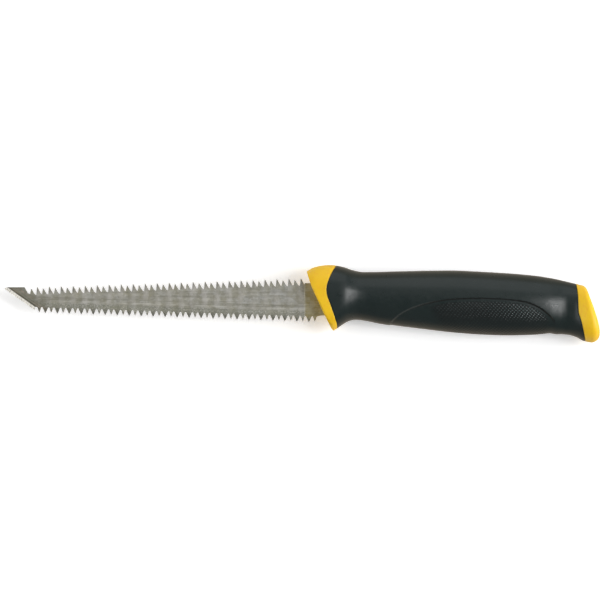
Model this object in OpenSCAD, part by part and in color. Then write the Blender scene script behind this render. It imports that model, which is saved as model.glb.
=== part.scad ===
// Double-edged jab saw for plasterboard: a pointed, tapering blade with teeth along both edges,
// moulded into a two-material handle with a hard guard, a hard butt and a soft grip between them.
//
// The saw lies on its side, as on a bench. +X runs from the blade's point to the butt, +Y is the
// thumb edge of the handle and +Z is square to the blade's flat. The origin is the centre of the
// overall box, on the surface that the saw lies on. The sub-parts are drawn from the blade's point
// and its centre line, and in_frame() moves them to that origin.

/* [Blade] */
// Distance from the blade's point to the front corner of the guard
blade_reach = 147; // [135:1:165]
// Sheet thickness at the bare heel and the tang
blade_t = 1.3; // [1:0.05:1.8]
// Depth ground off each face ahead of the bare heel
face_grind = 0.05; // [0.05:0.05:0.15]
// Height between the two rows of tooth roots, projected to the point
web_tip_h = 5.5; // [5:0.1:7]
// Height between the two rows of tooth roots at the guard
web_heel_h = 15.4; // [13:0.1:16]
// Width of the ground bevel along the slanted leading edge
bevel_w = 1.5; // [0.8:0.1:1.8]
// Thickness left at the cutting edge of the bevel
bevel_land = 0.12; // [0.05:0.01:0.3]

/* [Teeth] */
// Distance from one tooth tip to the next on either edge
tooth_pitch = 2.9; // [2.4:0.1:3.2]
// Height of the tall teeth on the thumb edge
thumb_tall_h = 3.3; // [2.5:0.1:3.5]
// Height of the short teeth on the thumb edge
thumb_short_h = 2.6; // [2:0.1:3]
// Height of the tall teeth on the finger edge
finger_tall_h = 2.6; // [2:0.1:3.2]
// Height of the short teeth on the finger edge
finger_short_h = 2.2; // [1.6:0.1:2.8]

/* [Tang] */
// Length of the tang behind the guard's front corner
tang_len = 84; // [60:1:100]
// Height of the tang behind its shoulders
tang_h = 8.6; // [7:0.2:9]
// Diameter of the holes that the handle's plastic runs through
tang_hole_d = 4.5; // [3:0.5:5]
// Number of those holes
tang_holes = 4; // [2:1:5]

/* [Handle] */
// Length of the handle, from the front corner of the guard to the back of the butt
handle_len = 141.5; // [130:0.5:155]
// Depth of the handle at the guard, from the thumb crest to the finger tip
handle_h = 31.8; // [30:0.2:36]
// Thickness across the guard and the butt, which the saw lies on
handle_t = 26; // [22:0.5:32]
// Thickness of the soft grip over the hard core
grip_wall = 3; // [2.4:0.1:3.2]
// Depth of the keying grooves round the core
key_depth = 0.9; // [0.4:0.1:1]
// Number of keying ribs along the core
key_ribs = 7; // [4:1:9]
// Rounding of the guard's front edge on the finger side
guard_round = 1.2; // [0.6:0.1:2]
// Rounding of the butt's edge on the finger side
butt_round = 4; // [2:0.5:5]

/* [Hidden] */

steel = [0.63, 0.63, 0.58];
yellow = [0.94, 0.75, 0.18];
black = [0.18, 0.21, 0.21];

// Points round a ring of the mouldings, and bands of facets along each stretch of the handle.
RING_POINTS = 40;
ROUND_BANDS = 3;
GUARD_BANDS = 4;
GRIP_BANDS = 36;
BUTT_BANDS = 3;
// Rounds of settling that find where a slanted end face meets the outline.
SETTLE_ROUNDS = 7;

// The outlines below are drawn for a handle of this length, depth and thickness, then scaled.
drawn_len = 141.5;
drawn_h = 31.8;
drawn_t = 26;
len_k = handle_len / drawn_len;
deep_k = handle_h / drawn_h;
thick_k = handle_t / drawn_t;

// Height of the thumb edge above the blade's centre line, against distance behind the guard's corner
thumb_line = [[0, 14.3], [2, 15.6], [6, 16.8], [11, 17.3], [14, 17], [18, 16.1], [22, 14.8],
              [27, 13.85], [33, 13.9], [45, 14.2], [68, 14.6], [91, 13.6], [109, 12.2],
              [119, 10.7], [129, 8.4], [134.5, 7.2], [142, 6.6]];
// Height of the finger edge on the same scale
finger_line = [[0, -14.5], [12.5, -14.5], [14, -13.8], [16, -12.4], [18, -11.1], [20.5, -9.8],
               [23.5, -9.3], [28, -9.8], [35, -11.2], [45, -12.7], [68, -15.7], [85, -17],
               [98, -17.4], [110, -17.2], [117, -16.6], [122.5, -16.3], [126.5, -16.6],
               [130, -17.6], [134, -19.6], [138, -20.3], [142, -20.3]];
// Half of the thickness on the same scale
side_line = [[0, 11.6], [5, 12.7], [11, 13], [15.5, 12.93], [18, 12.72], [20, 12.3],
             [22.8, 11.68], [25, 11.35], [29, 11.1], [37, 11.15], [52, 11.8], [75, 12.6],
             [95, 12.75], [105, 12.5], [111, 12.1], [117, 11.4], [121, 10.5], [124, 9.8],
             [125.8, 9.62], [128.3, 9.93], [132.7, 11.45], [136, 12.65], [138.5, 13], [142, 12.8]];
// Squareness of the cross-section: 2 is an ellipse, and more is fuller
full_line = [[0, 3], [12, 2.8], [26, 2.35], [80, 2.4], [118, 2.4], [135, 2.8], [142, 2.8]];

// Height above the blade's centre line, against distance behind the guard's corner, of the four
// faces that end the mouldings
guard_front = [[-15, 12.4], [-11.2, 10.5], [-6.4, 8.1], [0.4, 4.95], [7.6, 1.75], [12, 0.35],
               [17, -1]];
guard_back = [[-15, 14.6], [-12, 14.4], [-8.8, 13.5], [-1.2, 10.9], [2.8, 9.5], [5.6, 9.2],
              [9.6, 10.1], [14, 12.1], [17.3, 14.2]];
butt_front = [[-21, 134.8], [-18, 134.2], [-12.3, 133], [-8.4, 132], [-5.5, 131.1], [2.2, 130.8],
              [9, 130]];
butt_back = [[-21, 141.5], [-15.7, 141.5], [-13.2, 141.2], [-9.4, 140.3], [-4.6, 138.8],
             [2.2, 136.4], [8, 134.4]];

overall_len = blade_reach + handle_len;
crest_h = 17.3 * deep_k;
butt_drop = 20.3 * deep_k;

module in_frame() {
    translate([-overall_len / 2, (butt_drop - crest_h) / 2, handle_t / 2])
        children();
}

// ---------- Curves ----------

function mix(a, b, f) = a + (b - a) * f;

// Smooth curve through stations [x, y], with no overshoot between them.
function secant(t, i) = (t[i + 1][1] - t[i][1]) / (t[i + 1][0] - t[i][0]);
function even_slope(a, b) = a * b <= 0 ? 0 : 2 * a * b / (a + b);
function slope(t, i) =
    i == 0 ? secant(t, 0)
    : i == len(t) - 1 ? secant(t, i - 1)
    : even_slope(secant(t, i - 1), secant(t, i));
function span_of(t, x, i = 0) = i >= len(t) - 2 || x < t[i + 1][0] ? i : span_of(t, x, i + 1);
function curve(t, x) =
    let (i = span_of(t, x),
         w = t[i + 1][0] - t[i][0],
         f = min(1, max(0, (x - t[i][0]) / w)),
         g = 1 - f)
    t[i][1] * (1 + 2 * f) * g * g + t[i + 1][1] * (1 + 2 * g) * f * f
    + (slope(t, i) * g - slope(t, i + 1) * f) * w * f * g;

// The handle's outline at a place x behind the guard's corner.
function thumb_y(x) = curve(thumb_line, x / len_k) * deep_k;
function finger_y(x) = curve(finger_line, x / len_k) * deep_k;
function side_z(x) = curve(side_line, x / len_k) * thick_k;
function fullness(x) = curve(full_line, x / len_k);

// Station q runs along the handle: 0 is the guard's front, 1 its back, 2 the butt's front and
// 3 its back. This gives the place of station q at height y.
function face_x(t, y) = curve(t, y / deep_k) * len_k;
function station_x(q, y) =
    q <= 1 ? mix(face_x(guard_front, y), face_x(guard_back, y), q)
    : q <= 2 ? mix(face_x(guard_back, y), face_x(butt_front, y), q - 1)
    : mix(face_x(butt_front, y), face_x(butt_back, y), q - 2);

// ---------- Rings of the handle ----------

function power(v, p) = sign(v) * pow(abs(v), 2 / p);

// One point of a ring at station q, moved by shift along the handle and set in by inset.
function ring_y(x, angle, inset) =
    let (top = thumb_y(x) - inset, bottom = finger_y(x) + inset)
    (top + bottom) / 2 + (top - bottom) / 2 * power(cos(angle), fullness(x));
function settle(q, angle, shift, inset, y, rounds) =
    rounds == 0 ? y
    : settle(q, angle, shift, inset, ring_y(station_x(q, y) + shift, angle, inset), rounds - 1);
function ring_point(q, angle, shift, inset) =
    let (y = settle(q, angle, shift, inset, 0, SETTLE_ROUNDS),
         x = station_x(q, y) + shift)
    [blade_reach + x, y, (side_z(x) - inset) * power(sin(angle), fullness(x))];

// A ring is [station, shifts, insets], each pair given for the finger edge and the thumb edge.
function plain_ring(q, inset = 0) = [q, [0, 0], [inset, inset]];
function round_ring(q, side, finger_r, thumb_r, a) =
    [q, [side * finger_r * (1 - sin(a)), side * thumb_r * (1 - sin(a))],
        [finger_r * (1 - cos(a)), thumb_r * (1 - cos(a))]];
function ring(r) =
    [for (k = [0:RING_POINTS - 1])
        let (angle = 360 * k / RING_POINTS, f = (1 + cos(angle)) / 2)
        ring_point(r[0], angle, mix(r[1][0], r[1][1], f), mix(r[2][0], r[2][1], f))];
function points_of(rings) = [for (r = rings) each ring(r)];

// Triangles between rings i and j. Two mouldings that meet see their shared surface from its two
// sides, and the two choices of diagonal cut it along the same lines.
function band(i, j, outward) =
    [for (k = [0:RING_POINTS - 1])
        let (m = (k + 1) % RING_POINTS,
             a = i * RING_POINTS + k,
             b = i * RING_POINTS + m,
             c = j * RING_POINTS + m,
             d = j * RING_POINTS + k)
        each (outward ? [[a, b, c], [a, c, d]] : [[a, b, d], [b, c, d]])];

// Flat strips that close ring i. A ring is the same on both sides of the blade's plane.
function cap(i, front) =
    let (half = RING_POINTS / 2, first = i * RING_POINTS)
    [for (k = [0:half - 1])
        let (a = first + k,
             b = first + k + 1,
             c = first + RING_POINTS - k - 1,
             d = first + (RING_POINTS - k) % RING_POINTS,
             strip = k == 0 ? [a, b, c] : k == half - 1 ? [a, b, d] : [a, b, c, d])
        front ? [for (n = [len(strip) - 1:-1:0]) strip[n]] : strip];

// Closed solid from rings in order, with both ends capped.
module ring_solid(rings) {
    last = len(rings) - 1;
    polyhedron(points = points_of(rings),
               faces = [each cap(0, true),
                        for (i = [0:last - 1]) each band(i, i + 1, true),
                        each cap(last, false)],
               convexity = 6);
}

// Closed tube: the outer rings forwards, then the inner rings back to the first.
module ring_tube(outer, inner) {
    n = len(outer);
    m = len(inner);
    backwards = [for (i = [m - 1:-1:0]) inner[i]];
    polyhedron(points = points_of(concat(outer, backwards)),
               faces = [for (i = [0:n - 2]) each band(i, i + 1, true),
                        for (i = [n - 1:n + m - 2]) each band(i, i + 1, false),
                        each band(n + m - 1, 0, false)],
               convexity = 8);
}

// Each keying rib stands between two grooves in the core under the grip.
key_step = 1 / (4 * key_ribs + 1);
core_rings =
    [plain_ring(1, grip_wall),
     for (n = [0:key_ribs - 1], e = [0:3])
         plain_ring(1 + key_step * (4 * n + 1.5 + e),
                    grip_wall + (e == 1 || e == 2 ? key_depth : 0)),
     plain_ring(2, grip_wall)];
guard_thumb_round = guard_round / 4;
guard_rings =
    [for (s = [0:ROUND_BANDS])
         round_ring(0, 1, guard_round, guard_thumb_round, 90 - 90 * s / ROUND_BANDS),
     for (s = [1:GUARD_BANDS]) plain_ring(s / GUARD_BANDS)];
butt_thumb_round = butt_round / 2.5;
butt_plain = 0.6;
butt_rings =
    [for (s = [0:BUTT_BANDS - 1]) plain_ring(2 + butt_plain * s / BUTT_BANDS),
     for (s = [0:ROUND_BANDS]) round_ring(3, -1, butt_round, butt_thumb_round, 90 * s / ROUND_BANDS)];
grip_rings = [for (s = [0:GRIP_BANDS]) plain_ring(1 + s / GRIP_BANDS)];

// ---------- Blade ----------

// Half of the height between the tooth roots at x from the point.
function web_half(x) = mix(web_tip_h, web_heel_h, x / blade_reach) / 2;

// The point is hooked: a flat top edge, and a slanted leading edge that ends at the chin.
point_h = 5.8;
nose_h = 6.5;
nose_end = 10.2;
nose_foot = [11.8, 3.6];
chin = [15, -4.6];
chin_foot = [15.3, -3.1];
heel_x = blade_reach - 1.2;
heel_top = 8.5;
heel_bottom = -7.2;
shoulder_x = blade_reach + 14;
shoulder_run = 3;
tang_end = blade_reach + tang_len;
tang_end_half = tang_h / 2 - 0.8;
tang_corner = 2;

// Thumb-edge teeth lean towards the point. Each has a front foot, a tip, a knee on its back and a
// back foot. The feet are given for short and then for tall teeth. The knee is a share of the way
// to the back foot, and a share of the height.
thumb_first = 13.35;
thumb_front = [0.17, 0.12] * tooth_pitch;
thumb_back = [0.55, 0.62] * tooth_pitch;
thumb_knee = [0.52, 0.46];
thumb_gullet = 0.4;
thumb_count = floor((heel_x - 0.1 - thumb_back[1] - thumb_first) / tooth_pitch) + 1;
thumb_teeth =
    [for (k = [0:thumb_count - 1])
        let (x = thumb_first + k * tooth_pitch,
             tall = k % 2,
             h = tall == 1 ? thumb_tall_h : thumb_short_h)
        each [[x - thumb_front[tall], web_half(x) - tall * thumb_gullet],
              [x, web_half(x) + h],
              [x + thumb_knee[0] * thumb_back[tall], web_half(x) + h * thumb_knee[1]],
              [x + thumb_back[tall], web_half(x)]]];

// Finger-edge teeth stand upright, a wide one after each narrow one.
finger_first = 17.25;
finger_wide = 0.43 * tooth_pitch;
finger_narrow = 0.28 * tooth_pitch;
finger_gullet = 0.15;
finger_count = floor((heel_x + 5 - finger_first) / tooth_pitch) + 1;
finger_end = finger_first + (finger_count - 1) * tooth_pitch;
finger_teeth =
    [for (k = [finger_count - 1:-1:0])
        let (x = finger_first + k * tooth_pitch,
             tall = k % 2 == 1,
             half = tall ? finger_wide : finger_narrow)
        each [[x + half, -web_half(x)],
              [x, -web_half(x) - (tall ? finger_tall_h : finger_short_h)],
              [x - half, finger_gullet - web_half(x)]]];

blade_outline = concat(
    [[0, point_h], [1.8, nose_h], [nose_end, nose_h], nose_foot],
    thumb_teeth,
    [[heel_x - 0.1, heel_top], [shoulder_x, heel_top], [shoulder_x + shoulder_run, tang_h / 2],
     [tang_end - tang_corner, tang_end_half], [tang_end, tang_end_half - tang_corner],
     [tang_end, tang_corner - tang_end_half], [tang_end - tang_corner, -tang_end_half],
     [shoulder_x + shoulder_run, -tang_h / 2], [shoulder_x, heel_bottom],
     [finger_end + 4.2, heel_bottom], [finger_end + 2.2, heel_bottom - 0.35]],
    finger_teeth,
    [chin_foot, chin]);

module blade_blank() {
    linear_extrude(blade_t, center = true)
        polygon(blade_outline);
}

module tang_hole_set() {
    first = shoulder_x + 8;
    last = tang_end - 4;
    for (n = [0:tang_holes - 1])
        translate([mix(first, last, n / (tang_holes - 1)), 0, 0])
            cylinder(d = tang_hole_d, h = 2 * blade_t, center = true, $fn = 48);
}

// Wedge that cuts one side of the bevel along the slanted leading edge, from point to chin.
module bevel_cut(side) {
    edge = [chin[0], chin[1] - point_h];
    depth = (blade_t - bevel_land) / 2 - face_grind;
    cut_h = 3;
    overrun = 6;
    translate([0, point_h, side * bevel_land / 2])
        rotate([0, 0, atan2(edge[1], edge[0])])
            rotate([side * atan2(depth, bevel_w), 0, 0])
                translate([-overrun, -overrun, side > 0 ? 0 : -cut_h])
                    cube([norm(edge) + 2 * overrun, overrun + 3 * bevel_w, cut_h]);
}

// Slab that grinds one face of the blade ahead of the bare heel.
module face_cut(side) {
    slab_h = 1;
    reach = 40;
    face_z = blade_t / 2 - face_grind;
    translate([-slab_h, -reach / 2, side > 0 ? face_z : -face_z - slab_h])
        cube([heel_x + slab_h, reach, slab_h]);
}

// ---------- Sub-parts ----------

module blade() {
    color(steel)
        in_frame()
            difference() {
                blade_blank();
                for (side = [-1, 1]) {
                    face_cut(side);
                    bevel_cut(side);
                }
                tang_hole_set();
            }
}

// The core is moulded round the tang, so its plastic fills the tang's holes.
module handle_core() {
    color(yellow)
        in_frame()
            difference() {
                ring_solid(concat(guard_rings, core_rings, butt_rings));
                difference() {
                    blade_blank();
                    tang_hole_set();
                }
            }
}

module soft_grip() {
    color(black)
        in_frame()
            ring_tube(grip_rings, core_rings);
}

blade();
handle_core();
soft_grip();
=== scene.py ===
import math
import random

import bmesh
import bpy
import numpy as np
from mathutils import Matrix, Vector
from mathutils.geometry import tessellate_polygon


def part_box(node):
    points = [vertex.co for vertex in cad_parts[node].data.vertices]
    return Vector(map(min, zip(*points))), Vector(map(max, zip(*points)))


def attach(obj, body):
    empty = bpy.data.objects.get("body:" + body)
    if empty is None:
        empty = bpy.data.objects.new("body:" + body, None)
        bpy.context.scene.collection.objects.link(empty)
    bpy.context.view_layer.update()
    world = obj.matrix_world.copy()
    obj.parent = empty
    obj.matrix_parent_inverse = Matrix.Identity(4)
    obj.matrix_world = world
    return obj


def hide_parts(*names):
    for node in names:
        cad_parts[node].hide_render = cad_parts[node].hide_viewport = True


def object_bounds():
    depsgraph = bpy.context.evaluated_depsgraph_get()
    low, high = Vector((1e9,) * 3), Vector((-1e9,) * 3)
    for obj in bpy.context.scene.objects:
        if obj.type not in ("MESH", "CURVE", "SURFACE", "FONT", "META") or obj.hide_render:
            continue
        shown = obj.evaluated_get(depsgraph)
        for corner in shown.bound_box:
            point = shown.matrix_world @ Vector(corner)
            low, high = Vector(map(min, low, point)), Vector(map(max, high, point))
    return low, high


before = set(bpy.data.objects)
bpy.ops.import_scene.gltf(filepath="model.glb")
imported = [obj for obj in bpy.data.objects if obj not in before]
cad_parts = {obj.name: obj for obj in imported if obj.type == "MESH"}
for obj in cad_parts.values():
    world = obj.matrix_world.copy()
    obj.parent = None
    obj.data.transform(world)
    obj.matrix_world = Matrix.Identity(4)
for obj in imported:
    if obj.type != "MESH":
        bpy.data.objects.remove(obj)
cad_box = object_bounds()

random.seed(5)
MM = 0.001

# ---------- Where the frame puts things ----------

BLADE_REACH = 147.0  # blade's point to the guard's front corner, in mm
CREST_H = 17.3  # thumb crest of the guard above the blade's centre line, in mm
core_lo, core_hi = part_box("handle_core")
POINT_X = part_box("blade")[0].x
CENTRE_Y = core_hi.y - CREST_H * MM
PLANE_Z = (core_lo.z + core_hi.z) / 2


def to_frame(points):
    """Points in mm from the blade's point and centre line, as metres in the frame."""
    return np.asarray(points, float) * MM + np.array([POINT_X, CENTRE_Y, PLANE_Z])


# ---------- Outline of the handle, as in the CAD model ----------
# Each line is [distance behind the guard's front corner, value], in mm.

THUMB_LINE = [[0, 14.3], [2, 15.6], [6, 16.8], [11, 17.3], [14, 17], [18, 16.1], [22, 14.8],
              [27, 13.85], [33, 13.9], [45, 14.2], [68, 14.6], [91, 13.6], [109, 12.2],
              [119, 10.7], [129, 8.4], [134.5, 7.2], [142, 6.6]]
FINGER_LINE = [[0, -14.5], [12.5, -14.5], [14, -13.8], [16, -12.4], [18, -11.1], [20.5, -9.8],
               [23.5, -9.3], [28, -9.8], [35, -11.2], [45, -12.7], [68, -15.7], [85, -17],
               [98, -17.4], [110, -17.2], [117, -16.6], [122.5, -16.3], [126.5, -16.6],
               [130, -17.6], [134, -19.6], [138, -20.3], [142, -20.3]]
SIDE_LINE = [[0, 11.6], [5, 12.7], [11, 13], [15.5, 12.93], [18, 12.72], [20, 12.3],
             [22.8, 11.68], [25, 11.35], [29, 11.1], [37, 11.15], [52, 11.8], [75, 12.6],
             [95, 12.75], [105, 12.5], [111, 12.1], [117, 11.4], [121, 10.5], [124, 9.8],
             [125.8, 9.62], [128.3, 9.93], [132.7, 11.45], [136, 12.65], [138.5, 13], [142, 12.8]]
FULL_LINE = [[0, 3], [12, 2.8], [26, 2.35], [80, 2.4], [118, 2.4], [135, 2.8], [142, 2.8]]
# Each face is [height above the blade's centre line, distance behind the guard's corner].
GUARD_FRONT = [[-15, 12.4], [-11.2, 10.5], [-6.4, 8.1], [0.4, 4.95], [7.6, 1.75], [12, 0.35],
               [17, -1]]
GUARD_BACK = [[-15, 14.6], [-12, 14.4], [-8.8, 13.5], [-1.2, 10.9], [2.8, 9.5], [5.6, 9.2],
              [9.6, 10.1], [14, 12.1], [17.3, 14.2]]
BUTT_FRONT = [[-21, 134.8], [-18, 134.2], [-12.3, 133], [-8.4, 132], [-5.5, 131.1],
              [2.2, 130.8], [9, 130]]
BUTT_BACK = [[-21, 141.5], [-15.7, 141.5], [-13.2, 141.2], [-9.4, 140.3], [-4.6, 138.8],
             [2.2, 136.4], [8, 134.4]]


def smooth_curve(stations):
    """A function through the stations, with no overshoot between them."""
    xs, ys = np.array(stations, float).T
    secant = np.diff(ys) / np.diff(xs)
    slope = np.empty(len(xs))
    slope[0], slope[-1] = secant[0], secant[-1]
    a, b = secant[:-1], secant[1:]
    total = np.where(a * b > 0, a + b, 1.0)
    slope[1:-1] = np.where(a * b > 0, 2 * a * b / total, 0.0)

    def value(x):
        i = np.clip(np.searchsorted(xs, x, side="right") - 1, 0, len(xs) - 2)
        w = xs[i + 1] - xs[i]
        f = np.clip((x - xs[i]) / w, 0, 1)
        g = 1 - f
        return (ys[i] * (1 + 2 * f) * g * g + ys[i + 1] * (1 + 2 * g) * f * f
                + (slope[i] * g - slope[i + 1] * f) * w * f * g)

    return value


thumb_y = smooth_curve(THUMB_LINE)
finger_y = smooth_curve(FINGER_LINE)
side_z = smooth_curve(SIDE_LINE)
fullness = smooth_curve(FULL_LINE)
guard_front = smooth_curve(GUARD_FRONT)
guard_back = smooth_curve(GUARD_BACK)
butt_front = smooth_curve(BUTT_FRONT)
butt_back = smooth_curve(BUTT_BACK)

SKIN_PASSES = 14  # enough for a point's height and its place along the saw to agree


def mix(a, b, f):
    return a + (b - a) * f


def smoothstep(low, high, x):
    f = np.clip((x - low) / (high - low), 0, 1)
    return f * f * (3 - 2 * f)


def signed_power(value, power):
    return np.sign(value) * np.abs(value) ** power


def station_x(q, y):
    """Station 0 is the guard's front, 1 its back, 2 the butt's front and 3 its back."""
    return np.where(
        q <= 1, mix(guard_front(y), guard_back(y), q),
        np.where(q <= 2, mix(guard_back(y), butt_front(y), q - 1),
                 mix(butt_front(y), butt_back(y), q - 2)))


def skin(q, angle, shift=0.0, inset=0.0):
    """Points on the handle's surface: one row per station, one column per angle."""
    q = np.asarray(q, float)[:, None]
    c, s = np.cos(angle)[None, :], np.sin(angle)[None, :]
    y = np.zeros((len(q), len(angle)))
    for _ in range(SKIN_PASSES):
        x = station_x(q, y) + shift
        top, bottom = thumb_y(x) - inset, finger_y(x) + inset
        bend = 2 / fullness(x)
        y = (top + bottom) / 2 + (top - bottom) / 2 * signed_power(c, bend)
    z = (side_z(x) - inset) * signed_power(s, bend)
    return np.stack([BLADE_REACH + x, y, z], axis=-1)


def skin_rows(rows, angle):
    """The same for rows of (station, shift along the saw, inset from the surface).

    A shift or an inset is one value for its row, or one for each angle.
    """
    stations, shifts, insets = zip(*rows)
    shift = np.array([np.broadcast_to(value, len(angle)) for value in shifts])
    inset = np.array([np.broadcast_to(value, len(angle)) for value in insets])
    return skin(stations, angle, shift, inset)


def rounding(q, side, radius, steps):
    """Rows of a rounded edge from the surface to the face at station q.

    side is 1 if the moulding lies behind that face, and -1 if it lies in front of it.
    """
    turns = [math.pi / 2 * s / steps for s in range(steps + 1)]
    return [(q, side * radius * (1 - math.sin(a)), radius * (1 - math.cos(a))) for a in turns]


# ---------- Mesh helpers ----------

def make_object(name, verts, faces, crease_deg=None):
    """A mesh object: flat shaded, or smooth up to a crease angle where one is given."""
    mesh = bpy.data.meshes.new(name)
    mesh.from_pydata([tuple(v) for v in to_frame(verts)], [], faces)
    mesh.validate()
    bm = bmesh.new()
    bm.from_mesh(mesh)
    bmesh.ops.recalc_face_normals(bm, faces=bm.faces)
    bm.to_mesh(mesh)
    bm.free()
    if crease_deg is not None:
        mesh.shade_smooth()
        mesh.set_sharp_from_angle(angle=math.radians(crease_deg))
    obj = bpy.data.objects.new(name, mesh)
    bpy.context.scene.collection.objects.link(obj)
    return obj


def write_layer(obj, name, domain, values):
    """Stores a number for each point or face, which a material reads by the layer's name."""
    layer = obj.data.attributes.new(name, "FLOAT", domain)
    layer.data.foreach_set("value", np.asarray(values, np.float32).ravel())


def band_faces(rows, columns, closed=False):
    """Quads between neighbouring rings, and from the last ring to the first if closed."""
    faces = []
    for i in range(rows if closed else rows - 1):
        near, far = i * columns, (i + 1) % rows * columns
        for k in range(columns):
            after = (k + 1) % columns
            faces.append((near + k, near + after, far + after, far + k))
    return faces


def strip_cap(first, columns):
    """Flat strips across a ring that is the same on both sides of the blade's plane."""
    half = columns // 2
    faces = []
    for k in range(half):
        a, b = first + k, first + k + 1
        c, d = first + columns - k - 1, first + (columns - k) % columns
        if k == 0:
            faces.append((a, b, c))
        elif k == half - 1:
            faces.append((a, b, d))
        else:
            faces.append((a, b, c, d))
    return faces


def ride_and_replace(obj, node, material):
    """The piece takes its material, rides the one body and stands in for a CAD node."""
    obj.data.materials.clear()
    obj.data.materials.append(material)
    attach(obj, "root")
    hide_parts(node)


# ---------- Node material helper ----------

class Nodes:
    """Short forms for building one node material."""

    def __init__(self, name):
        self.material = bpy.data.materials.new(name)
        self.material.use_nodes = True
        self.tree = self.material.node_tree
        self.tree.nodes.clear()
        out = self.tree.nodes.new("ShaderNodeOutputMaterial")
        self.shader = self.tree.nodes.new("ShaderNodeBsdfPrincipled")
        self.put(out.inputs["Surface"], self.shader.outputs[0])
        self.place = self.tree.nodes.new("ShaderNodeTexCoord").outputs["Object"]

    def put(self, socket, value):
        """Gives a socket another node's output, an opaque colour or a number."""
        if isinstance(value, bpy.types.NodeSocket):
            self.tree.links.new(value, socket)
        elif isinstance(value, tuple):
            socket.default_value = (*value, 1.0)
        else:
            socket.default_value = value

    def mapped(self, vector, **inputs):
        """Coordinates moved, turned or scaled by the named inputs of a mapping node."""
        node = self.tree.nodes.new("ShaderNodeMapping")
        for name, value in inputs.items():
            node.inputs[name].default_value = value
        self.put(node.inputs["Vector"], vector)
        return node.outputs[0]

    def noise(self, vector, scale, detail, rough=0.55):
        node = self.tree.nodes.new("ShaderNodeTexNoise")
        for name, value in (("Vector", vector), ("Scale", scale), ("Detail", detail),
                            ("Roughness", rough)):
            self.put(node.inputs[name], value)
        return node.outputs["Fac"]

    def stretched_noise(self, stretch, detail, rough, shift=(0, 0, 0)):
        """Noise with its own scale along each axis."""
        return self.noise(self.mapped(self.place, Scale=stretch, Location=shift), 1, detail, rough)

    def math(self, operation, *values):
        node = self.tree.nodes.new("ShaderNodeMath")
        node.operation = operation
        for socket, value in zip(node.inputs, values):
            self.put(socket, value)
        return node.outputs[0]

    def times(self, a, b):
        return self.math("MULTIPLY", a, b)

    def plus(self, a, b):
        return self.math("ADD", a, b)

    def minus(self, a, b):
        return self.math("SUBTRACT", a, b)

    def remap(self, value, low, high, to_low=0.0, to_high=1.0):
        """Moves a value from one range to another, with soft ends."""
        node = self.tree.nodes.new("ShaderNodeMapRange")
        node.interpolation_type = "SMOOTHSTEP"
        for name, number in (("Value", value), ("From Min", low), ("From Max", high),
                             ("To Min", to_low), ("To Max", to_high)):
            self.put(node.inputs[name], number)
        return node.outputs[0]

    def layer(self, under, over, *shares, mode="MIX"):
        """Lays one colour over another, by the product of the shares."""
        share = shares[0]
        for factor in shares[1:]:
            share = self.times(share, factor)
        node = self.tree.nodes.new("ShaderNodeMix")
        node.data_type = "RGBA"
        node.blend_type = mode
        # The node has a pair of inputs for each type of data. The colours are inputs 6 and 7.
        for index, value in ((0, share), (6, under), (7, over)):
            self.put(node.inputs[index], value)
        return node.outputs[2]

    def axis(self, name):
        node = self.tree.nodes.new("ShaderNodeSeparateXYZ")
        self.put(node.inputs[0], self.place)
        return node.outputs[name]

    def attribute(self, name):
        node = self.tree.nodes.new("ShaderNodeAttribute")
        node.attribute_name = name
        return node.outputs["Fac"]

    def bump(self, *layers):
        """Each layer is (height, strength, distance in mm). They are joined in order."""
        normal = None
        for height, strength, distance in layers:
            node = self.tree.nodes.new("ShaderNodeBump")
            for name, value in (("Strength", strength), ("Distance", distance * MM),
                                ("Height", height)):
                self.put(node.inputs[name], value)
            if normal is not None:
                self.put(node.inputs["Normal"], normal)
            normal = node.outputs[0]
        self.put(self.shader.inputs["Normal"], normal)

    def finish(self, colour, roughness, **constants):
        self.put(self.shader.inputs["Base Color"], colour)
        self.put(self.shader.inputs["Roughness"], roughness)
        for name, value in constants.items():
            self.put(self.shader.inputs[name.replace("_", " ")], value)
        return self.material


# ---------- Plastic and rubber ----------

def yellow_plastic():
    """Deep yellow moulding with flow marks, darker flecks and a fine grain."""
    n = Nodes("yellow_plastic")
    cloud = n.noise(n.place, 45, 3)
    flow = n.noise(n.mapped(n.place, Scale=(1, 0.35, 1)), 160, 2)
    fleck = n.noise(n.mapped(n.place, Scale=(1, 0.5, 1)), 900, 3, 0.6)
    grain = n.noise(n.place, 5200, 2)
    colour = n.layer((0.79, 0.470, 0.003), (0.85, 0.532, 0.007), n.remap(cloud, 0.35, 0.7))
    colour = n.layer(colour, (0.84, 0.56, 0.05), n.remap(flow, 0.62, 0.8, 0, 0.25))
    colour = n.layer(colour, (0.80, 0.39, 0.012), n.remap(fleck, 0.52, 0.68, 0, 0.5))
    n.bump((grain, 0.25, 0.02), (flow, 0.06, 0.3))
    return n.finish(colour, n.remap(cloud, 0.3, 0.7, 0.36, 0.46), Specular_IOR_Level=0.45)


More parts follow.
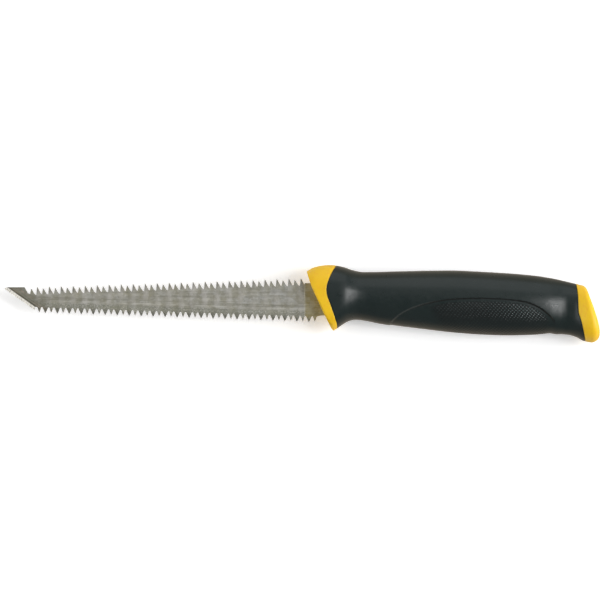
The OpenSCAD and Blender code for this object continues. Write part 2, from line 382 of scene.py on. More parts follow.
def black_rubber():
    """Blue-black rubber with dust, painted highlights on the knurl tops and the panel's lip, and
    painted shade in the grooves and along the panel's foot.
    """
    n = Nodes("black_rubber")
    cloud = n.noise(n.place, 38, 4)
    dust = n.noise(n.place, 420, 5, 0.7)
    grain = n.noise(n.place, 4200, 3, 0.6)
    pebble = n.noise(n.place, 1500, 2, 0.5)
    colour = n.layer((0.0022, 0.0092, 0.0088), (0.0052, 0.0122, 0.0116), n.remap(cloud, 0.3, 0.7))
    colour = n.layer(colour, (0.030, 0.035, 0.032), n.remap(dust, 0.60, 0.82, 0, 0.25))
    # Painted shade in the knurl's grooves.
    colour = n.layer(colour, (0.0006, 0.0016, 0.0016), n.attribute("knurl_groove_shade"))
    # Painted highlight on the knurl tops.
    colour = n.layer(colour, (0.042, 0.071, 0.068), n.remap(n.attribute("knurl_top_highlight"), 0.30, 0.95))
    # Painted highlight along the front of the panel's lip.
    colour = n.layer(colour, (0.036, 0.041, 0.039), n.attribute("panel_lip_highlight"))
    # Painted shadow along the panel's foot.
    colour = n.layer(colour, (0.0008, 0.0012, 0.0012), n.attribute("panel_foot_shadow"))
    n.bump((grain, 0.18, 0.03), (pebble, 0.30, 0.04), (cloud, 0.03, 0.8))
    return n.finish(colour, n.remap(dust, 0.3, 0.75, 0.27, 0.36), Specular_IOR_Level=0.5)


# ---------- Handle core: guard, keyed spine and butt in one moulding ----------

CORE_COLUMNS = 144
CORE_CREASE = 50  # degrees
GRIP_WALL = 3.0
KEY_DEPTH = 0.9
KEY_RIBS = 7
SEAM = 0.3  # radius of the small rounding where two mouldings meet
SEAM_STEPS = 3
GUARD_ROUND, GUARD_THUMB_ROUND, GUARD_STEPS = 1.2, 0.3, 6
BUTT_ROUND, BUTT_THUMB_ROUND, BUTT_STEPS = 4.0, 1.6, 8
FACE_RING = 1.6  # from a rounding's end to the ring where the flat strips of a face begin
GUARD_HOLD, BUTT_HOLD = 0.25, 0.35  # to the ring before that, which keeps the face's rim flat


def key_rows():
    """Rows of the core's keying ribs, which the grip's bore follows too."""
    step = 1 / (4 * KEY_RIBS + 1)
    return [(1 + step * (4 * n + 1.5 + e), 0, GRIP_WALL + (KEY_DEPTH if e in (1, 2) else 0))
            for n in range(KEY_RIBS) for e in range(4)]


def core_rows(angle):
    """The core from the guard's front face to the butt's back face, in rows for skin_rows."""
    thumb_share = (1 + np.cos(angle)) / 2
    guard_r = mix(GUARD_ROUND, GUARD_THUMB_ROUND, thumb_share)
    butt_r = mix(BUTT_ROUND, BUTT_THUMB_ROUND, thumb_share)
    rows = [(0, 0, guard_r + FACE_RING), (0, 0, guard_r + GUARD_HOLD)]
    rows += rounding(0, 1, guard_r, GUARD_STEPS)[::-1]
    rows += [(q, 0, 0) for q in (0.1, 0.2, 0.3, 0.45, 0.6, 0.75, 0.88)]
    rows += rounding(1, -1, SEAM, SEAM_STEPS)
    rows += [(1, 0, GRIP_WALL)] + key_rows() + [(2, 0, GRIP_WALL)]
    rows += rounding(2, 1, SEAM, SEAM_STEPS)[::-1]
    rows += [(q, 0, 0) for q in (2.1, 2.22, 2.36, 2.5)]
    rows += rounding(3, -1, butt_r, BUTT_STEPS)
    return rows + [(3, 0, butt_r + BUTT_HOLD), (3, 0, butt_r + FACE_RING)]


def build_core():
    angle = np.linspace(0, 2 * math.pi, CORE_COLUMNS, endpoint=False)
    rows = core_rows(angle)
    faces = band_faces(len(rows), CORE_COLUMNS)
    faces += strip_cap(0, CORE_COLUMNS)
    faces += strip_cap((len(rows) - 1) * CORE_COLUMNS, CORE_COLUMNS)
    points = skin_rows(rows, angle).reshape(-1, 3)
    return make_object("core_guard_and_butt", points, faces, CORE_CREASE)


# ---------- Soft grip with its finger panels ----------
# u is the distance behind the guard's corner and v the height above the centre line, in mm.

# Upper edge of the finger panel: [u, v].
PANEL_ARCH = [[38.5, -14], [41, -10], [45.7, -6.1], [51.3, -3.3], [57, -1.5], [62.7, -0.1],
              [69.1, 0.87], [77.2, 1.26], [83.6, 1.4], [91.7, 1.16], [99.7, 0.53],
              [106.2, -0.6], [111.8, -2.95], [116.7, -6.6], [119.5, -9.8], [120.5, -12.5],
              [120.9, -15], [121, -18.5]]
ARCH_SAMPLES = 420
GRIP_CREASE = 20  # degrees
PANEL_STEP = 0.5  # length of the step from the grip's surface down to the panel's floor
BLURRED_STEP = 4.0  # its length at the low back corner, where the step runs out
KNURL_STEP = 0.30
KNURL_PERIOD = 6  # in steps
KNURL_DEPTH = 0.15
KNURL_RISE = 0.42  # share of the depth that stands above the panel's floor
KNURL_MARGIN = 1.5
KNURL_FRONT = 57.5  # u where the knurl begins at the top
KNURL_TOP_V = -3  # v below which it begins further and further back
KNURL_SLANT = 0.42  # how much further back, per mm of height

# The grip's section midway along, for spacing the columns, and its run between the seams.
MID_HALF_H, MID_HALF_W, MID_FULLNESS = 15.4, 12.2, 2.4
GRIP_START, GRIP_RUN = 9.5, 121.6
FINE_FROM, FINE_TO = 37.0, 122.4  # stretch of u with fine rows, over the panel
FINE_ARC = 52.2  # stretch of the section with fine columns, over the finger side
COARSE_COLUMNS = 44
FRONT_ROWS, BACK_ROWS = 34, 14
SEAM_SHARE = 0.006  # share of the grip's run at each end that the seams' roundings take


def ring_angles():
    """Angles round the section: even fine steps over the finger side, coarser over the thumb."""
    dense = np.linspace(0, 2 * math.pi, 7201)
    bend = 2 / MID_FULLNESS
    y = MID_HALF_H * signed_power(np.cos(dense), bend)
    z = MID_HALF_W * signed_power(np.sin(dense), bend)
    arc = np.concatenate([[0], np.cumsum(np.hypot(np.diff(y), np.diff(z)))])
    around = arc[-1]
    fine_columns = int(round(FINE_ARC / KNURL_STEP))
    fine = around / 2 + (np.arange(fine_columns) - fine_columns / 2) * KNURL_STEP
    rest = around - FINE_ARC
    coarse = around / 2 + FINE_ARC / 2 + rest * np.arange(COARSE_COLUMNS) / COARSE_COLUMNS
    wanted = np.concatenate([fine, coarse]) % around
    return np.interp(wanted, arc, dense), fine_columns


def length_stations():
    """Stations along the grip: even fine steps over the panel, coarser at both ends."""
    fine_start, fine_end = (FINE_FROM - GRIP_START) / GRIP_RUN, (FINE_TO - GRIP_START) / GRIP_RUN
    fine_rows = int(round((FINE_TO - FINE_FROM) / KNURL_STEP))
    front = np.linspace(SEAM_SHARE, fine_start, FRONT_ROWS, endpoint=False)
    middle = np.linspace(fine_start, fine_end, fine_rows, endpoint=False)
    back = np.linspace(fine_end, 1 - SEAM_SHARE, BACK_ROWS)
    return 1 + np.concatenate([front, middle, back]), fine_rows


def surface_normals(grid):
    """Unit normals of a tube of points, facing outward."""
    along = np.gradient(grid, axis=0)
    ring = np.roll(grid, -1, axis=1) - np.roll(grid, 1, axis=1)
    normal = np.cross(ring, along)
    normal /= np.linalg.norm(normal, axis=-1, keepdims=True)
    centre = grid.mean(axis=1, keepdims=True)
    if ((grid - centre) * normal).sum() < 0:
        normal = -normal
    return normal


def panel_distance(u, v):
    """Signed distance in plan to the panel's edge, in mm: positive inside the panel."""
    arch = np.array(PANEL_ARCH)
    travel = np.concatenate([[0], np.cumsum(np.hypot(*np.diff(arch, axis=0).T))])
    dense = np.linspace(0, travel[-1], ARCH_SAMPLES)
    edge_u = smooth_curve(np.stack([travel, arch[:, 0]], 1).tolist())(dense)
    edge_v = smooth_curve(np.stack([travel, arch[:, 1]], 1).tolist())(dense)
    nearest = np.full(u.shape, np.inf)
    for a, b in zip(edge_u, edge_v):
        nearest = np.minimum(nearest, (u - a) ** 2 + (v - b) ** 2)
    top = np.interp(u, edge_u, edge_v, left=-np.inf, right=-np.inf)
    return np.sqrt(nearest) * np.where(v < top, 1, -1)


def panel_blur(u, v):
    """1 at the low back corner, where the panel's edge runs out softly, and 0 elsewhere."""
    return smoothstep(-8.5, -13, v) * smoothstep(100, 114, u)


def panel_floor(u, v, edge):
    """How far the panel's floor lies below the grip's surface: least in front, most behind."""
    depth = mix(0.28, 0.55, smoothstep(40, 62, u)) + 0.2 * smoothstep(95, 115, u)
    return depth * smoothstep(-0.05, mix(PANEL_STEP, BLURRED_STEP, panel_blur(u, v)), edge)


def knurl(u, v, edge, fine_rows, fine_columns):
    """Diamond grooves along both diagonals of the even grid: how deep, and how much they show."""
    row = (np.arange(u.shape[0]) - FRONT_ROWS)[:, None]
    column = np.arange(u.shape[1])[None, :]
    even = (row >= 0) & (row < fine_rows) & (column < fine_columns)
    rising = np.abs(((row + column) / KNURL_PERIOD) % 1 - 0.5) * 2
    falling = np.abs(((row - column) / KNURL_PERIOD) % 1 - 0.5) * 2
    start = KNURL_FRONT + KNURL_SLANT * np.clip(KNURL_TOP_V - v, 0, 20)
    fade = mix(0.7, 5, panel_blur(u, v))
    shown = (smoothstep(KNURL_MARGIN, KNURL_MARGIN + fade, edge)
             * smoothstep(-1, 6, u - start) * even)
    return np.maximum(rising, falling), shown


def grip_shades(u, v, edge, cut, shown):
    """Layers for the rubber: a painted highlight on the knurl tops, painted shade in the grooves, a
    painted highlight on the lip in front and a painted shadow along the foot.
    """
    # Painted highlight: the knurl tops are lightened, more near the top of the panel and towards
    # the back, where the light falls on them.
    painted_top_light = mix(0.25, 1.0, smoothstep(-14, -5, v)) * mix(0.6, 1.0, smoothstep(80, 110, u))
    # Painted shade: the knurl's grooves are darkened, less so low down on the panel.
    dark = mix(0.45, 1.0, smoothstep(-14, -6, v))
    # Painted highlight on the front part of the panel's edge, on the step's wall that faces the
    # light.
    lip = smoothstep(0.40, 0.05, np.abs(edge + 0.10)) * smoothstep(66, 50, u)
    # Painted shadow: a thin dark line just inside the panel's edge, at the foot of the step, but
    # not at its low back corner.
    foot = (smoothstep(0.42, 0.05, np.abs(edge - 0.32)) * smoothstep(46, 60, u)
            * (1 - panel_blur(u, v)))
    return {"knurl_top_highlight": shown * painted_top_light * (1 - cut), "knurl_groove_shade": shown * cut * dark,
            "panel_lip_highlight": lip, "panel_foot_shadow": foot}


def build_grip():
    """A sleeve: the outer surface with its panel, a rounded seam at each end, and the bore."""
    angle, fine_columns = ring_angles()
    stations, fine_rows = length_stations()
    surface = skin(stations, angle)
    u, v = surface[..., 0] - BLADE_REACH, surface[..., 1]
    edge = panel_distance(u, v)
    cut, shown = knurl(u, v, edge, fine_rows, fine_columns)
    low = panel_floor(u, v, edge) + KNURL_DEPTH * shown * (cut - KNURL_RISE)
    outer = surface - surface_normals(surface) * low[..., None]

    front_seam = skin_rows(rounding(1, 1, SEAM, SEAM_STEPS)[::-1], angle)
    back_seam = skin_rows(rounding(2, -1, SEAM, SEAM_STEPS), angle)
    bore = skin_rows([(2, 0, GRIP_WALL)] + key_rows()[::-1] + [(1, 0, GRIP_WALL)], angle)
    grid = np.concatenate([front_seam, outer, back_seam, bore], axis=0)
    faces = band_faces(*grid.shape[:2], closed=True)
    grip = make_object("soft_grip_sleeve", grid.reshape(-1, 3), faces, GRIP_CREASE)

    first = len(front_seam)
    for name, shade in grip_shades(u, v, edge, cut, shown).items():
        values = np.zeros(grid.shape[:2])
        values[first:first + len(outer)] = shade
        write_layer(grip, name, "POINT", values)
    return grip


# ---------- Blade sizes, in mm from its point and its centre line ----------

WEB_TIP_H, WEB_HEEL_H = 5.5, 15.4
HALF_T, HALF_GROUND = 0.65, 0.60
POINT_H = 5.8
NOSE = [(1.8, 6.5), (10.2, 6.5), (11.8, 3.6)]
CHIN, CHIN_FOOT = (15.0, -4.6), (15.3, -3.1)
HEEL_X = BLADE_REACH - 1.2
HEEL_TOP, HEEL_BOTTOM = 8.5, -7.2
HEEL_RAMP = 0.03  # half the run of the slope from the ground web up to the bare heel
HEEL_TEETH_X = HEEL_X - 1.0  # finger-edge teeth from here on stand on the bare heel
SWEEP_RUN = 2.9  # from the last tooth's foot to the heel's lower edge
SHOULDER_X, SHOULDER_RUN = BLADE_REACH + 14, 3
TANG_END = BLADE_REACH + 84
TANG_HALF, TANG_END_HALF, TANG_CORNER = 4.3, 3.5, 2.0
TANG_HOLES, TANG_HOLE_R, HOLE_SIDES = 4, 2.25, 32
FIRST_HOLE_X, LAST_HOLE_X = SHOULDER_X + 8, TANG_END - 4

# Rows of the bevel from its outer edge to its inner line: share of its width, half thickness.
BEVEL_ROWS = [(0.0, 0.06), (0.45, 0.26), (1.0, HALF_GROUND)]
BEVEL_W = 1.5
BEVEL_STEPS = 32
BEVEL_NICK = 0.2
BEVEL_SPREAD = 0.12  # moves the nicked edge outward, so that it strays to both sides of its line
EDGE_NORMAL = (0.5698, 0.8218)  # from the slanted leading edge into the blade

# Odd teeth are the taller ones. Each kind, even and then odd, is its height, its reach ahead of
# the tip and behind it, and how far its front foot dips into the web.
TOOTH_PITCH = 2.9
THUMB_FIRST, THUMB_COUNT = 13.35, 46
THUMB_TEETH = [(2.6, 0.17 * TOOTH_PITCH, 0.55 * TOOTH_PITCH, 0.0),
               (3.3, 0.12 * TOOTH_PITCH, 0.62 * TOOTH_PITCH, 0.4)]
FINGER_FIRST, FINGER_COUNT = 17.25, 47
FINGER_TEETH = [(2.2, 0.28 * TOOTH_PITCH, 0.28 * TOOTH_PITCH, 0.15),
                (2.6, 0.43 * TOOTH_PITCH, 0.43 * TOOTH_PITCH, 0.15)]
KNEE_BACK = 0.52  # share of the reach behind the tip
THUMB_KNEE_H, FINGER_KNEE_H = 0.46, 0.54  # shares of the height
SET = 0.24  # how far a tip leans out of the blade's plane
FILED = 0.36  # slant of the filing, which moves a tooth's two sides apart along the blade
TIP_HALF, KNEE_HALF = 0.5, 0.95  # shares of the half thickness
KNEE_LEAN = 0.5  # share of the set
FOOT_SKEW, TIP_SKEW, KNEE_SKEW = 0.2, 0.2, 0.35  # shares of the filing
TIP_WOBBLE = 0.05
GULLET_DIP, NARROW_GULLET_DIP = 0.10, 0.04
NARROW_GULLET = 0.35  # widest gap between two teeth that has the smaller dip


# ---------- Steel ----------

STEEL_GAIN = (1.13, 1.13, 1.14)


class BladePatterns:
    """Places on the blade in mm, and the noises that the layers of its steel share."""

    def __init__(self, n):
        self.x = n.times(n.minus(n.axis("X"), POINT_X), 1 / MM)
        self.y = n.times(n.minus(n.axis("Y"), CENTRE_Y), 1 / MM)
        self.streak = n.stretched_noise((30, 1500, 1), 5, 0.65)
        self.blotch = n.stretched_noise((90, 140, 1), 4, 0.6)
        self.haze = n.stretched_noise((240, 300, 1), 3, 0.6, (0.3, 0.1, 0))
        self.speckle = n.stretched_noise((1300, 1500, 1), 3, 0.7)
        self.mottle = n.stretched_noise((620, 760, 1), 4, 0.65, (0.6, 0.2, 0))
        # A wave with a crest at every tall thumb-edge tooth, which wanders a little.
        teeth = n.math("DIVIDE", n.minus(self.x, THUMB_FIRST + TOOTH_PITCH), 2 * TOOTH_PITCH)
        drift = n.times(n.minus(self.blotch, 0.5), 0.7)
        self.wave = n.math("COSINE", n.times(n.plus(teeth, drift), 2 * math.pi))


def edgewise_noise(n, stretch):
    """Noise stretched along and across the slanted leading edge."""
    angle = math.atan2(EDGE_NORMAL[0], EDGE_NORMAL[1])
    turned = n.mapped(n.place, Rotation=(0, 0, angle))
    return n.noise(n.mapped(turned, Scale=stretch), 1, 3, 0.6)


def ground_sheet(n, p):
    """Warm grey that cools towards the heel, with haze, streaks, rubbed lines and mottling."""
    colour = n.layer((0.405, 0.385, 0.295), (0.49, 0.485, 0.44), n.remap(p.blotch, 0.38, 0.62))
    colour = n.layer(colour, (0.47, 0.475, 0.455), n.remap(p.x, 70, 140),
                     n.remap(p.blotch, 0.3, 0.7, 0.25, 0.75))
    rubbed = n.stretched_noise((11, 420, 1), 3, 0.55, (0.2, 0.7, 0))
    for pattern, none_at, full_at, share, shade in (
            (p.haze, 0.56, 0.40, 0.55, (0.31, 0.295, 0.22)),
            (p.streak, 0.62, 0.38, 0.45, (0.35, 0.34, 0.275)),
            (rubbed, 0.55, 0.68, 0.35, (0.60, 0.59, 0.53)),
            (rubbed, 0.47, 0.36, 0.55, (0.28, 0.27, 0.21)),
            (p.mottle, 0.52, 0.68, 0.40, (0.62, 0.61, 0.57)),
            (p.mottle, 0.48, 0.32, 0.45, (0.25, 0.25, 0.20))):
        colour = n.layer(colour, shade, n.remap(pattern, none_at, full_at, 0, share))
    return colour


def tooth_bands(n, p, colour):
    """Grinding leaves a light upright band at every tall tooth, fainter near the heel."""
    patchy = n.stretched_noise((150, 110, 1), 3, 0.6, (0.9, 0.4, 0))
    return n.layer(colour, (0.62, 0.60, 0.56), n.remap(p.wave, -0.7, 1.0),
                   n.remap(patchy, 0.36, 0.64, 0.05, 0.60), n.remap(p.x, 100, 135, 1.0, 0.45))


def root_strip(n, p, colour):
    """Mottled strip over the roots of the finger-edge teeth, with two ground lines above it."""
    slope = (WEB_HEEL_H - WEB_TIP_H) / (2 * BLADE_REACH)
    root = n.math("MULTIPLY_ADD", p.x, -slope, -WEB_TIP_H / 2)
    above = n.minus(p.y, root)
    strip = n.remap(above, 3.0, 2.0)
    colour = n.layer(colour, (0.27, 0.275, 0.22), strip, n.remap(p.speckle, 0.42, 0.58, 0.85, 0.10))
    for height, shade in ((3.5, (0.63, 0.62, 0.55)), (5.0, (0.27, 0.265, 0.21))):
        offset = n.math("ABSOLUTE", n.minus(above, height))
        colour = n.layer(colour, shade, n.remap(offset, 0.42, 0.10),
                         n.remap(p.haze, 0.35, 0.55, 0, 0.5))
    return n.layer(colour, (0.80, 0.79, 0.72), strip, n.remap(p.speckle, 0.55, 0.70, 0, 0.45))


def nose_marks(n, p, colour):
    """Darker nose with tinted lines, a stain, a dark upper rim and a dark line by the bevel."""
    inward = n.plus(n.times(p.x, EDGE_NORMAL[0]), n.times(n.minus(p.y, POINT_H), EDGE_NORMAL[1]))
    lines = edgewise_noise(n, (60, 1700, 1))
    nose = n.remap(inward, 6.5, 3.2)
    colour = n.layer(colour, (0.29, 0.285, 0.23), nose, 0.75)
    colour = n.layer(colour, (0.45, 0.32, 0.245), nose, n.remap(lines, 0.48, 0.60, 0, 0.7))
    colour = n.layer(colour, (0.22, 0.22, 0.18), nose, n.remap(lines, 0.47, 0.36, 0, 0.8))
    colour = n.layer(colour, (0.185, 0.190, 0.140), n.remap(inward, 8.5, 5.5),
                     n.remap(p.mottle, 0.42, 0.56, 0, 0.45))
    colour = n.layer(colour, (0.16, 0.155, 0.115), n.remap(p.y, POINT_H - 0.2, POINT_H + 0.5),
                     n.remap(p.x, 14, 11), 0.75)
    offset = n.math("ABSOLUTE", n.minus(inward, BEVEL_W + 0.40))
    return n.layer(colour, (0.13, 0.12, 0.09), n.remap(offset, 0.40, 0.12), 0.80)


def heel_and_tips(n, p, colour):
    """Bare heel with an olive tint, and hardened teeth that darken to their tips."""
    ragged_x = n.math("MULTIPLY_ADD", n.minus(p.mottle, 0.5), 2.0, p.x)
    tint = n.layer((0.34, 0.29, 0.135), (0.47, 0.43, 0.27), n.remap(p.haze, 0.35, 0.65))
    tint = n.layer(tint, (0.56, 0.51, 0.36), n.remap(p.streak, 0.45, 0.65, 0, 0.45))
    colour = n.layer(colour, tint, n.remap(ragged_x, HEEL_X - 0.5, HEEL_X + 0.9), 0.88)
    return n.layer(colour, (0.20, 0.20, 0.175), n.remap(n.attribute("tip"), 0.0, 0.9),
                   n.remap(p.speckle, 0.35, 0.65, 0.78, 0.45))


def brushed_steel():
    """Ground sheet and its marks, with a bevel that is ground across its edge and whose brightness
    is a painted reflection.
    """
    n = Nodes("brushed_steel")
    p = BladePatterns(n)
    colour = ground_sheet(n, p)
    for marks in (tooth_bands, root_strip, nose_marks, heel_and_tips):
        colour = marks(n, p, colour)
    colour = n.layer(colour, STEEL_GAIN, 1.0, mode="MULTIPLY")

    bevel = n.attribute("bevel")
    across = n.remap(edgewise_noise(n, (2400, 200, 1)), 0.38, 0.53)
    # Painted reflection: a pale colour, and below it almost no metal, make the bevel bright as if
    # it caught a light.
    colour = n.layer(colour, n.layer((0.46, 0.44, 0.39), (0.96, 0.93, 0.85), across), bevel)
    n.put(n.shader.inputs["Metallic"], n.math("MULTIPLY_ADD", bevel, -0.8, 0.95))
    rough = n.plus(n.remap(p.streak, 0.3, 0.7, 0.33, 0.45), n.times(bevel, 0.15))

    fine = n.stretched_noise((120, 9000, 1), 3, 0.6)
    n.bump((fine, 0.22, 0.02), (p.streak, 0.10, 0.04), (p.wave, 0.04, 0.4))
    return n.finish(colour, rough)


# ---------- Blade ----------

def web_half(x):
    """Half the height of the web between the roots of the teeth."""
    return mix(WEB_TIP_H, WEB_HEEL_H, x / BLADE_REACH) / 2


HEEL_FINGER_Y = 0.1 - web_half(HEEL_X)


def between(a, b, f):
    return [mix(u, v, f) for u, v in zip(a, b)]


class Plate:
    """A sheet drawn as pairs of points, one on its upper face and one on its lower face."""

    def __init__(self):
        self.verts, self.faces, self.marks, self.tips = [], [], [], []

    def pair(self, x, y, half, lean=0.0, skew=0.0, tip=0.0):
        """lean moves both points across the sheet, and skew moves them apart along it."""
        self.verts += [(x + skew, y, lean + half), (x - skew, y, lean - half)]
        self.tips += [tip, tip]
        return len(self.verts) - 2

    def middle(self, a):
        """Place of a pair in plan, halfway between its two points."""
        return between(self.verts[a][:2], self.verts[a + 1][:2], 0.5)

    def face(self, corners, mark=0):
        """mark is 1 on the bevel, for the steel to read."""
        self.faces.append(tuple(corners))
        self.marks.append(mark)

    def edge(self, a, b, mark=0):
        self.face((a, b, b + 1, a + 1), mark)

    def both(self, corners, mark=0):
        """The same face on the upper and the lower side."""
        self.face(corners, mark)
        self.face([c + 1 for c in reversed(corners)], mark)

    def fill(self, loop, holes=()):
        """Covers the flat inside a loop of pairs, except its holes."""
        loops = [list(loop)] + [list(h) for h in holes]
        order = [i for part in loops for i in part]
        points = [[Vector((self.verts[i][0], self.verts[i][1], 0)) for i in part] for part in loops]
        for triangle in tessellate_polygon(points):
            self.both([order[i] for i in triangle])

    def close_edges(self, loop, open_spans=()):
        """Joins the two faces round a loop, except where a tooth or a neighbour is."""
        for a, b in zip(loop, loop[1:] + loop[:1]):
            if (a, b) not in open_spans and (b, a) not in open_spans:
                self.edge(a, b)


def tooth(plate, thumb, k, half):
    """Tooth k of one edge, bent to one side and filed on the slant. Gives its two feet."""
    if thumb:
        x, side, knee_h = THUMB_FIRST + k * TOOTH_PITCH, 1, THUMB_KNEE_H
        height, ahead, behind, dip = THUMB_TEETH[k % 2]
    else:
        x, side, knee_h = FINGER_FIRST + k * TOOTH_PITCH, -1, FINGER_KNEE_H
        height, ahead, behind, dip = FINGER_TEETH[k % 2]
    turn = 1 if (k % 2 == 1) == thumb else -1
    lean, skew = turn * SET, -turn * FILED
    front = plate.pair(x - ahead, side * (web_half(x - ahead) - dip), half, 0, skew * FOOT_SKEW)
    back = plate.pair(x + behind, side * web_half(x + behind), half, 0, skew * FOOT_SKEW)
    tip_x = x + random.uniform(-TIP_WOBBLE, TIP_WOBBLE)
    tip_y = side * (web_half(x) + height + random.uniform(-TIP_WOBBLE, TIP_WOBBLE))
    tip = plate.pair(tip_x, tip_y, half * TIP_HALF, lean, skew * TIP_SKEW, 1.0)
    knee = plate.pair(x + KNEE_BACK * behind, side * (web_half(x) + knee_h * height),
                      half * KNEE_HALF, lean * KNEE_LEAN, skew * KNEE_SKEW, 0.5)
    plate.both((front, tip, knee))
    plate.both((front, knee, back))
    for a, b in ((front, tip), (tip, knee), (knee, back)):
        plate.edge(a, b)
    return front, back


def tooth_row(plate, thumb, x_from, x_to, half):
    """Teeth of one edge whose tips lie between two places.

    Gives the pairs of the edge in order, and the spans between them that a tooth stands on.
    """
    first, count = (THUMB_FIRST, THUMB_COUNT) if thumb else (FINGER_FIRST, FINGER_COUNT)
    side = 1 if thumb else -1
    chain, spans = [], set()
    for k in range(count):
        if not x_from <= first + k * TOOTH_PITCH < x_to:
            continue
        front, back = tooth(plate, thumb, k, half)
        if chain:
            start, end = plate.middle(chain[-1]), plate.middle(front)
            deep = GULLET_DIP if end[0] - start[0] > NARROW_GULLET else NARROW_GULLET_DIP
            for share in (0.35, 0.65):
                x, y = between(start, end, share)
                chain.append(plate.pair(x, y - side * deep, half))
        spans.add((front, back))
        chain += [front, back]
    return chain, spans


def add_bevel(plate):
    """Bevel along the slanted leading edge, with a ragged land. Gives its inner line's pairs."""
    rows = []
    for share, half in BEVEL_ROWS:
        start, end = between((0, POINT_H), NOSE[0], share), between(CHIN, CHIN_FOOT, share)
        row = []
        for i in range(BEVEL_STEPS + 1):
            nick = 0.0
            if share == 0 and 0 < i < BEVEL_STEPS:
                nick = (i % 2 + random.uniform(0, 0.7)) * BEVEL_NICK - BEVEL_SPREAD
            x, y = between(start, end, i / BEVEL_STEPS)
            row.append(plate.pair(x + EDGE_NORMAL[0] * nick, y + EDGE_NORMAL[1] * nick, half))
        rows.append(row)
    for near, far in zip(rows, rows[1:]):
        for i in range(BEVEL_STEPS):
            plate.both((near[i], near[i + 1], far[i + 1], far[i]), 1)
    for a, b in zip(rows[0], rows[0][1:]):
        plate.edge(a, b, 1)
    for end in (0, -1):
        plate.face([row[end] for row in rows] + [row[end] + 1 for row in reversed(rows)], 1)
    return rows[-1]


def add_web(plate, inner_line):
    """Ground web with its teeth, from the bevel to the bare heel. Gives its two rear pairs."""
    nose = [plate.pair(*p, HALF_GROUND) for p in NOSE[1:]]
    thumb_chain, thumb_spans = tooth_row(plate, True, 0, HEEL_X, HALF_GROUND)
    finger_chain, finger_spans = tooth_row(plate, False, 0, HEEL_TEETH_X, HALF_GROUND)
    top = plate.pair(HEEL_X - HEEL_RAMP, HEEL_TOP, HALF_GROUND)
    bottom = plate.pair(HEEL_X - HEEL_RAMP, HEEL_FINGER_Y, HALF_GROUND)
    outline = ([inner_line[0]] + nose + thumb_chain + [top, bottom]
               + finger_chain[::-1] + inner_line[:0:-1])
    plate.fill(outline)
    neighbours = set(zip(inner_line, inner_line[1:])) | {(top, bottom)}
    plate.close_edges(outline, thumb_spans | finger_spans | neighbours)
    return top, bottom


def tang_hole(plate, x):
    """Pairs round one hole that the handle's plastic runs through."""
    return [plate.pair(x + TANG_HOLE_R * math.cos(a), TANG_HOLE_R * math.sin(a), HALF_T)
            for a in np.linspace(0, 2 * math.pi, HOLE_SIDES, endpoint=False)]


def add_heel(plate, web_top, web_bottom):
    """Bare heel at full thickness with its last teeth, then the shoulders and the tang."""
    top = plate.pair(HEEL_X + HEEL_RAMP, HEEL_TOP, HALF_T)
    bottom = plate.pair(HEEL_X + HEEL_RAMP, HEEL_FINGER_Y, HALF_T)
    chain, spans = tooth_row(plate, False, HEEL_TEETH_X, math.inf, HALF_T)
    last_x, last_y = plate.verts[chain[-1]][:2]
    sweep = [plate.pair(last_x + SWEEP_RUN * f, mix(last_y, HEEL_BOTTOM, math.sin(f * math.pi / 2)),
                        HALF_T) for f in (0.25, 0.5, 0.75, 1.0)]
    tang = [plate.pair(*p, HALF_T) for p in (
        (SHOULDER_X, HEEL_TOP), (SHOULDER_X + SHOULDER_RUN, TANG_HALF),
        (TANG_END - TANG_CORNER, TANG_END_HALF), (TANG_END, TANG_END_HALF - TANG_CORNER),
        (TANG_END, TANG_CORNER - TANG_END_HALF), (TANG_END - TANG_CORNER, -TANG_END_HALF),
        (SHOULDER_X + SHOULDER_RUN, -TANG_HALF), (SHOULDER_X, HEEL_BOTTOM))]
    holes = [tang_hole(plate, mix(FIRST_HOLE_X, LAST_HOLE_X, n / (TANG_HOLES - 1)))
             for n in range(TANG_HOLES)]
    outline = [top] + tang + sweep[::-1] + chain[::-1] + [bottom]
    plate.fill(outline, holes)
    plate.close_edges(outline, spans | {(top, bottom)})
    for hole in holes:
        plate.close_edges(hole)
    plate.both((web_top, top, bottom, web_bottom))
    plate.edge(web_top, top)
    plate.edge(web_bottom, bottom)


def build_blade():
    plate = Plate()
    web_top, web_bottom = add_web(plate, add_bevel(plate))
    add_heel(plate, web_top, web_bottom)
    blade = make_object("saw_blade", plate.verts, plate.faces)
    write_layer(blade, "bevel", "FACE", plate.marks)
    write_layer(blade, "tip", "POINT", plate.tips)
    return blade


# ---------- Stage, lights and camera, in metres ----------

FLOOR_SIZE = 30
GLOW_FROM, GLOW_TO = 0.6, 2.4  # distances from the saw between which the floor grows brighter
LIGHT_DISTANCE = 3.0
CAMERA_LENS, SENSOR_W = 540, 36  # in mm
PICTURE_W = 1.0068  # of the saw's length
CAMERA_SHIFT = (-0.0026, 0.0062)  # from above the saw's middle, in shares of its length


def grey(level):
    return (level, level, level)


def pale_floor():
    """Almost white, and glowing more away from the saw, so that the picture's rim stays pale."""
    n = Nodes("pale_floor")
    x, y = n.axis("X"), n.axis("Y")
    away = n.math("SQRT", n.plus(n.times(x, x), n.times(y, y)))
    glow = n.layer(grey(0.30), grey(0.90), n.remap(away, GLOW_FROM, GLOW_TO))
    n.put(n.shader.inputs["Emission Color"], glow)
    colour = n.layer(grey(0.93), grey(0.95), n.noise(n.place, 3, 2))
    return n.finish(colour, 0.9, Specular_IOR_Level=0.1, Emission_Strength=1.0)


def build_floor():
    bpy.ops.mesh.primitive_plane_add(size=FLOOR_SIZE, location=(0, 0, cad_box[0].z))
    floor = bpy.context.object
    floor.name = "floor"
    floor.visible_glossy = False
    floor.data.materials.append(pale_floor())


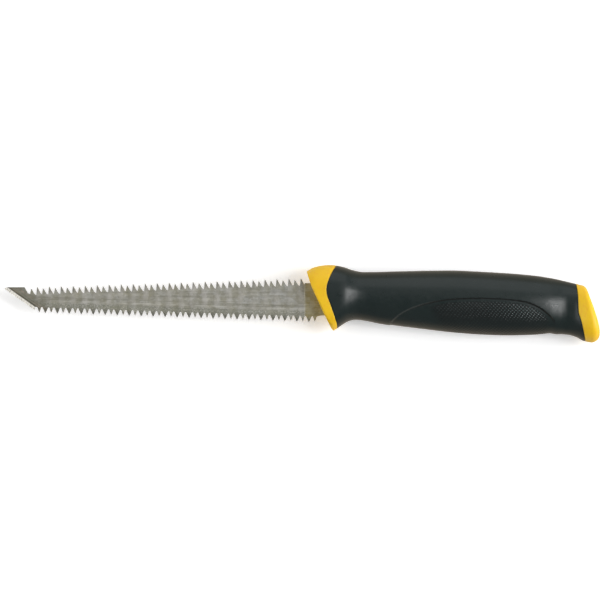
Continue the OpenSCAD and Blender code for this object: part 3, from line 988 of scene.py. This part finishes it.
def softbox(name, tilt, bearing, size, level):
    """A panel aimed at the saw, tilted from overhead towards a bearing, both in degrees.

    level is how brightly it lights a white surface that faces up, where 1 is full white.
    """
    data = bpy.data.lights.new(name, "AREA")
    data.shape = "RECTANGLE"
    data.size, data.size_y = size
    tilt, bearing = math.radians(tilt), math.radians(bearing)
    data.energy = level * math.pi ** 2 * LIGHT_DISTANCE ** 2 / math.cos(tilt)
    away = Vector((math.sin(tilt) * math.cos(bearing), math.sin(tilt) * math.sin(bearing),
                   math.cos(tilt)))
    light = bpy.data.objects.new(name, data)
    light.location = Vector((0, 0, PLANE_Z)) + away * LIGHT_DISTANCE
    light.rotation_euler = away.to_track_quat("Z", "Y").to_euler()
    light.visible_camera = False
    bpy.context.scene.collection.objects.link(light)


def build_lights():
    softbox("key_butt_side", 26, 11, (0.33, 0.33), 0.095)
    softbox("overhead", 22, 90, (3.6, 2.0), 0.055)
    softbox("fill_thumb_side", 60, 90, (3.6, 2.8), 0.13)
    softbox("fill_butt_side", 64, 0, (1.5, 4.2), 0.50)
    softbox("fill_point_side", 70, 180, (1.2, 4.2), 0.14)


def build_world():
    """Pale surroundings, brighter and warmer below the horizon and dimmer round the zenith."""
    world = bpy.data.worlds.new("studio")
    world.use_nodes = True
    tree = world.node_tree
    background = tree.nodes["Background"]
    direction = tree.nodes.new("ShaderNodeTexCoord").outputs["Generated"]
    split = tree.nodes.new("ShaderNodeSeparateXYZ")
    tree.links.new(direction, split.inputs[0])
    ramp = tree.nodes.new("ShaderNodeValToRGB")
    tree.links.new(split.outputs["Z"], ramp.inputs[0])
    low, high = ramp.color_ramp.elements
    low.position, low.color = 0.0, (0.57, 0.50, 0.41, 1)
    high.position, high.color = 1.0, (*grey(0.20), 1)
    for height in (0.06, 0.88):
        ramp.color_ramp.elements.new(height).color = (*grey(0.31), 1)
    tree.links.new(ramp.outputs[0], background.inputs["Color"])
    background.inputs["Strength"].default_value = 1.0
    bpy.context.scene.world = world


def build_camera():
    """Straight above the saw, with the thumb edge of the handle to the top of the picture."""
    data = bpy.data.cameras.new("camera")
    data.lens = CAMERA_LENS
    data.sensor_width = SENSOR_W
    lo, hi = cad_box
    length = hi.x - lo.x
    camera = bpy.data.objects.new("camera", data)
    camera.location = ((lo.x + hi.x) / 2 + CAMERA_SHIFT[0] * length,
                       (lo.y + hi.y) / 2 + CAMERA_SHIFT[1] * length,
                       PLANE_Z + PICTURE_W * length * CAMERA_LENS / SENSOR_W)
    bpy.context.scene.collection.objects.link(camera)
    bpy.context.scene.camera = camera


build_floor()
build_lights()
build_world()
build_camera()
ride_and_replace(build_blade(), "blade", brushed_steel())
ride_and_replace(build_core(), "handle_core", yellow_plastic())
ride_and_replace(build_grip(), "soft_grip", black_rubber())
bpy.context.scene.view_settings.view_transform = "Standard"
